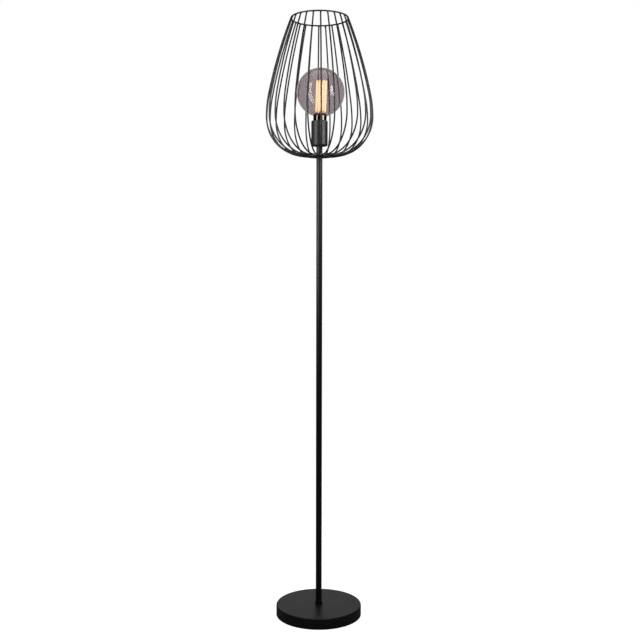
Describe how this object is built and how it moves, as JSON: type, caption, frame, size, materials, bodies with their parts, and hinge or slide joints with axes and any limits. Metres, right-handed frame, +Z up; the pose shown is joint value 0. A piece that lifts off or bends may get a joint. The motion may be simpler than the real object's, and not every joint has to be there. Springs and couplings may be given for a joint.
{
  "type": "floor lamp",
  "caption": "Floor lamp with a flat round base, a slim straight pole and an open pear-shaped cage of bent wire round a smoked globe bulb.",
  "frame": {"origin": "on the floor, in the middle of the round base, on the axis of the pole", "axes": "+Z up along the pole; +Y to the back, where the mains inlet is; +X to the right for someone in front who looks along +Y"},
  "size_m": [0.279, 0.281, 1.5742],
  "materials": {
    "black_powder_coat": "satin black powder coat",
    "foam_rubber": "closed-cell foam",
    "grommet_rubber": "matte moulded rubber",
    "raw_iron": "raw casting",
    "zinc_steel": "zinc plated",
    "black_moulding": "moulded thermoset",
    "contact_brass": "bare brass",
    "lead_sheath": "flexible sheath",
    "core_insulation": "flexible insulation",
    "block_plastic": "moulded",
    "cap_metal": "bright pressed sheet",
    "cap_glass": "black fused glass",
    "polished_collar": "polished, dark nickel",
    "smoked_glass": "clear smoked glass",
    "stem_glass": "clear glass",
    "glowing_filament": "warm filament, lit",
    "carrier_wire": "bright wire",
    "circuit_board": "lacquered board"
  },
  "bodies": {
    "lamp": {"base_cover": "black_powder_coat", "foot_collar": "black_powder_coat", "lower_pole": "black_powder_coat", "middle_pole": "black_powder_coat", "upper_pole": "black_powder_coat", "hub_plate": "black_powder_coat", "top_ring": "black_powder_coat", "neck_tube": "black_powder_coat", "socket_cover": "black_powder_coat", "rib_01": "black_powder_coat", "rib_02": "black_powder_coat", "rib_03": "black_powder_coat", "rib_04": "black_powder_coat", "rib_05": "black_powder_coat", "rib_06": "black_powder_coat", "rib_07": "black_powder_coat", "rib_08": "black_powder_coat", "rib_09": "black_powder_coat", "rib_10": "black_powder_coat", "rib_11": "black_powder_coat", "rib_12": "black_powder_coat", "rib_13": "black_powder_coat", "rib_14": "black_powder_coat", "rib_15": "black_powder_coat", "rib_16": "black_powder_coat", "rib_17": "black_powder_coat", "rib_18": "black_powder_coat", "rib_19": "black_powder_coat", "rib_20": "black_powder_coat", "rib_21": "black_powder_coat", "rib_22": "black_powder_coat", "rib_23": "black_powder_coat", "rib_24": "black_powder_coat", "rib_25": "black_powder_coat", "rib_26": "black_powder_coat", "foot_pad": "foam_rubber", "cord_grommet": "grommet_rubber", "base_weight": "raw_iron", "base_nipple": "zinc_steel", "base_clamp": "zinc_steel", "pole_inserts": "zinc_steel", "pole_nipples": "zinc_steel", "top_nipple": "zinc_steel", "holder_cap": "black_moulding", "holder_body": "black_moulding", "holder_screw_shell": "contact_brass", "centre_contact": "contact_brass", "terminal_screws": "contact_brass", "internal_lead": "lead_sheath", "core_wires": "core_insulation", "terminal_block": "block_plastic"},
    "bulb_tip": {"bulb_end_contact": "cap_metal"},
    "bulb": {"bulb_glass": "smoked_glass", "bulb_collar": "polished_collar", "bulb_cap": "cap_metal", "cap_insulator": "cap_glass", "bulb_stem": "stem_glass", "bulb_filaments": "glowing_filament", "filament_carriers": "carrier_wire", "driver_board": "circuit_board"}
  },
  "joints": [
    {"name": "bulb_climb", "type": "slide", "parent": "lamp", "child": "bulb_tip", "axis": [0, 0, 1], "range_m": [0, 0.01907]},
    {"name": "bulb_turn", "type": "hinge", "parent": "bulb_tip", "child": "bulb", "pos_m": [0, 0, 1.2676], "axis": [0, 0, 1], "range_deg": [0, 1890]}
  ],
  "couplings": [
    {"joint": "bulb_climb", "follows": "bulb_turn", "m_per_rad": 0.00057757}
  ]
}
